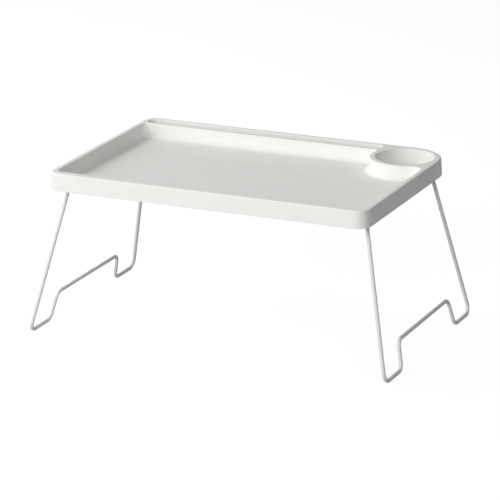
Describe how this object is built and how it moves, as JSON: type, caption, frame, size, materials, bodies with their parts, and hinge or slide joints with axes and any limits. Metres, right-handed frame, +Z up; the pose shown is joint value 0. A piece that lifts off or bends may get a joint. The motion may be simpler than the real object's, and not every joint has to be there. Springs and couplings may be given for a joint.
{
  "type": "folding tray table",
  "caption": "Moulded bed tray with a sunken top, a cup well and a book slot, standing on wire legs that fold flat under it.",
  "frame": {"origin": "on the floor under the middle of the table, as it stands on its open legs", "axes": "+X to the right along the tray, towards the end with the cup well; +Y to the back, towards the book slot; +Z up"},
  "size_m": [0.5798, 0.3562, 0.255],
  "materials": {
    "tray_plastic": "fine satin moulded plastic, white",
    "leg_coating": "smooth white powder coat on steel wire",
    "fitting_plastic": "satin moulded plastic, white",
    "screw_steel": "zinc plated steel"
  },
  "bodies": {
    "tray_top": {"tray": "tray_plastic", "hinge_bracket_front_left": "fitting_plastic", "hinge_bracket_back_left": "fitting_plastic", "hinge_bracket_front_right": "fitting_plastic", "hinge_bracket_back_right": "fitting_plastic", "hinge_screws_front_left": "screw_steel", "hinge_screws_back_left": "screw_steel", "hinge_screws_front_right": "screw_steel", "hinge_screws_back_right": "screw_steel", "leg_clip_front_left": "fitting_plastic", "leg_clip_back_left": "fitting_plastic", "leg_clip_front_right": "fitting_plastic", "leg_clip_back_right": "fitting_plastic", "clip_screw_front_left": "screw_steel", "clip_screw_back_left": "screw_steel", "clip_screw_front_right": "screw_steel", "clip_screw_back_right": "screw_steel"},
    "left_leg": {"leg_left": "leg_coating"},
    "right_leg": {"leg_right": "leg_coating"}
  },
  "joints": [
    {"name": "left_leg_fold", "type": "hinge", "parent": "tray_top", "child": "left_leg", "pos_m": [-0.23835, 0, 0.22505], "axis": [0, -1, 0], "range_deg": [0, 102.36]},
    {"name": "right_leg_fold", "type": "hinge", "parent": "tray_top", "child": "right_leg", "pos_m": [0.23835, 0, 0.22505], "axis": [0, 1, 0], "range_deg": [0, 102.36]}
  ]
}
